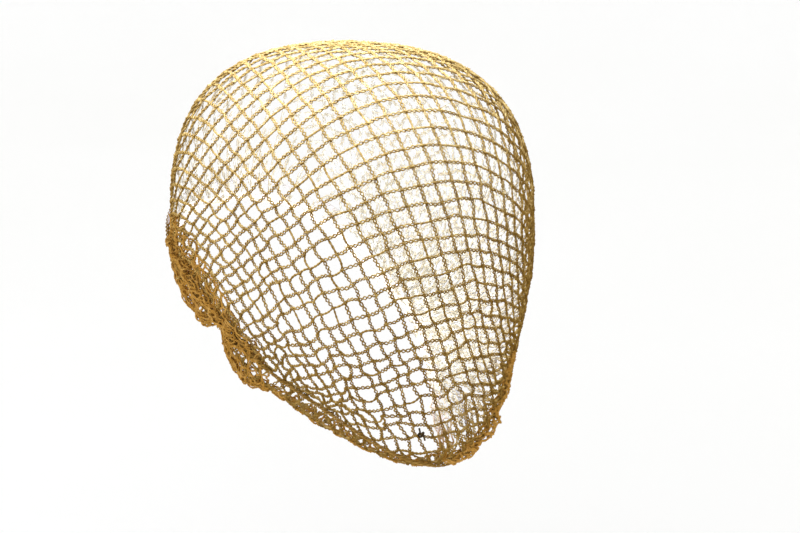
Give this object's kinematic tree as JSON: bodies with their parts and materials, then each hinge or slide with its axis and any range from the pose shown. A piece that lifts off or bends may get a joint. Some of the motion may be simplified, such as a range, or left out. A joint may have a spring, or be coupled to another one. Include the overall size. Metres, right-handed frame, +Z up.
{
  "type": "hairnet",
  "caption": "Open-mesh hairnet of paired threads, gathered by an edge cord to a slanting round mouth, worn from forehead to nape to hold the hair.",
  "frame": {"origin": "inside of the crown, where the net rests on the top of the head", "axes": "+Z up, -Y the way the wearer faces, +X the wearer's left"},
  "size_m": [0.148, 0.1822, 0.2022],
  "materials": {
    "netting": "matt golden-brown twisted thread",
    "cord": "matt brown twisted thread",
    "mending_thread": "matt dark thread"
  },
  "bodies": {
    "root": {"net": "netting", "edge_cord": "cord", "mend_knot": "mending_thread"}
  },
  "joints": []
}
